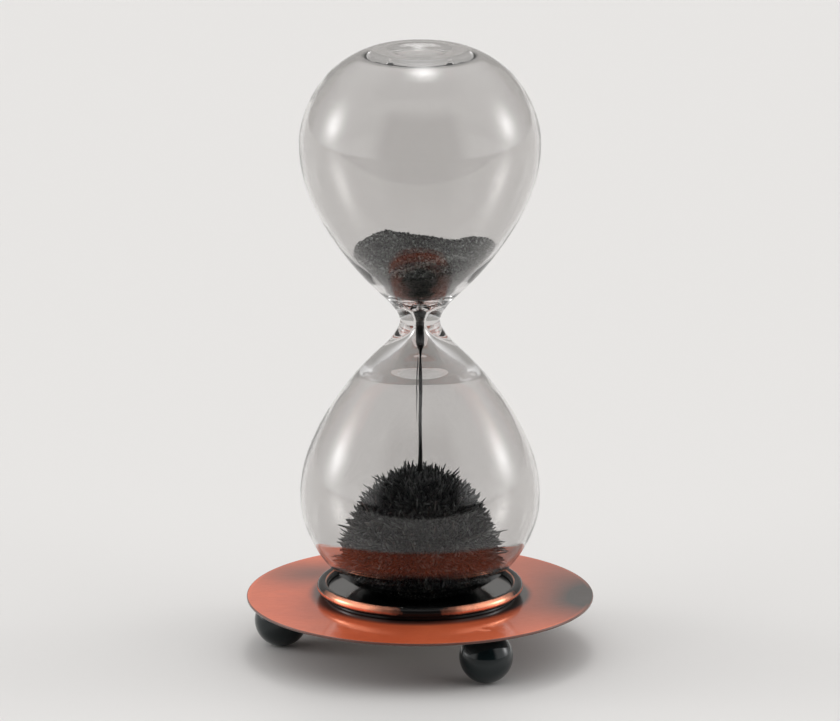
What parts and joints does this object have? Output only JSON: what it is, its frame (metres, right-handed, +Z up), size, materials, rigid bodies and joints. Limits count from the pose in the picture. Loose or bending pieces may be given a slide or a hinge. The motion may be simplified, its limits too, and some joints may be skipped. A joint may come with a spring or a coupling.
{
  "type": "magnetic hourglass",
  "caption": "Blown-glass hourglass of iron powder standing loose on a round copper-finished magnetic base with ball feet; the glass lifts off and turns over.",
  "frame": {"origin": "on the table under the centre of the round base", "axes": "+Z up along the hourglass, -Y towards the front"},
  "size_m": [0.1, 0.1, 0.1766],
  "materials": {
    "copper_plate": "antique copper plating, satin, lacquered",
    "copper_ring": "antique copper plating, polished on the outside, dark inside",
    "black_enamel": "gloss black",
    "zinc_steel": "bright zinc",
    "nickel_magnet": "bright nickel plate",
    "clear_glass": "clear, fire polished",
    "iron_powder": "matt black iron powder"
  },
  "bodies": {
    "base": {"base_plate": "copper_plate", "seat_disc": "black_enamel", "seat_ring": "copper_ring", "magnet": "nickel_magnet", "magnet_washer": "zinc_steel", "magnet_nut": "zinc_steel", "foot_ball_left": "black_enamel", "foot_ball_front": "black_enamel", "foot_ball_rear": "black_enamel", "foot_stud_left": "zinc_steel", "foot_stud_front": "zinc_steel", "foot_stud_rear": "zinc_steel"},
    "throat": {"throat_powder": "iron_powder"},
    "glass": {"glass_vessel": "clear_glass", "upper_powder": "iron_powder", "powder_stream": "iron_powder", "lower_powder": "iron_powder"}
  },
  "joints": [
    {"name": "glass_lift", "type": "slide", "parent": "base", "child": "throat", "axis": [0, 0, 1], "range_m": [0, 0.2]},
    {"name": "glass_flip", "type": "hinge", "parent": "throat", "child": "glass", "pos_m": [0, 0, 0.0972], "axis": [0, 1, 0], "range_deg": [0, 180]}
  ],
  "couplings": [
    {"joint": "glass_lift", "follows": "glass_flip", "m_per_rad": 0.0636}
  ]
}
